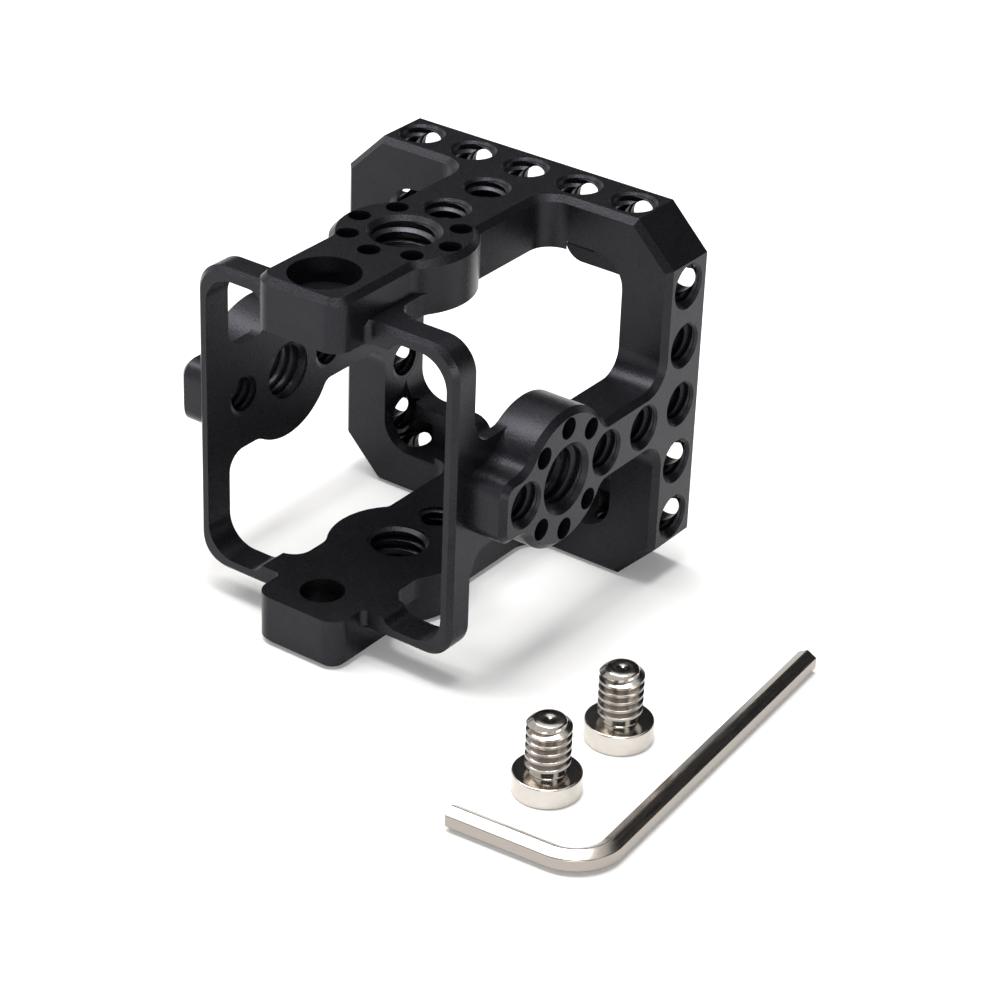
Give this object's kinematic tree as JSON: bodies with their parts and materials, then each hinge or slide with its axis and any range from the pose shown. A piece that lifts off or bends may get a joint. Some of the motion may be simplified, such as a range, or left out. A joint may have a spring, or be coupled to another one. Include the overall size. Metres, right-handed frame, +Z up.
{
  "type": "camera cage",
  "caption": "Open box cage for a small box camera, milled from one block, with tapped holes on every side, its camera screws and a hex key.",
  "frame": {"origin": "centre of the large tapped hole in the bottom arm, on the plane that the cage stands on", "axes": "+Z up, +Y towards the rear frame, +X to the right seen from the front ring"},
  "size_m": [0.0939, 0.078, 0.0585],
  "materials": {
    "anodised": "black anodised, fine satin",
    "nickel_screw": "bright nickel plated steel",
    "nickel_key": "nickel plated steel, drawn bar"
  },
  "bodies": {
    "cage": {"rear_frame": "anodised", "top_arm": "anodised", "bottom_arm": "anodised", "left_arm": "anodised", "right_arm": "anodised", "front_ring_left": "anodised", "front_ring_right": "anodised"},
    "camera_screw_1": {"camera_screw_1": "nickel_screw"},
    "camera_screw_2": {"camera_screw_2": "nickel_screw"},
    "hex_key": {"hex_key": "nickel_key"}
  },
  "joints": [
    {"name": "camera_screw_1_lift", "type": "slide", "parent": "cage", "child": "camera_screw_1", "axis": [0, 0, 1], "range_m": [0, 0.075]},
    {"name": "camera_screw_2_lift", "type": "slide", "parent": "cage", "child": "camera_screw_2", "axis": [0, 0, 1], "range_m": [0, 0.075]},
    {"name": "hex_key_lift", "type": "slide", "parent": "cage", "child": "hex_key", "axis": [0, 0, 1], "range_m": [0, 0.075]}
  ]
}
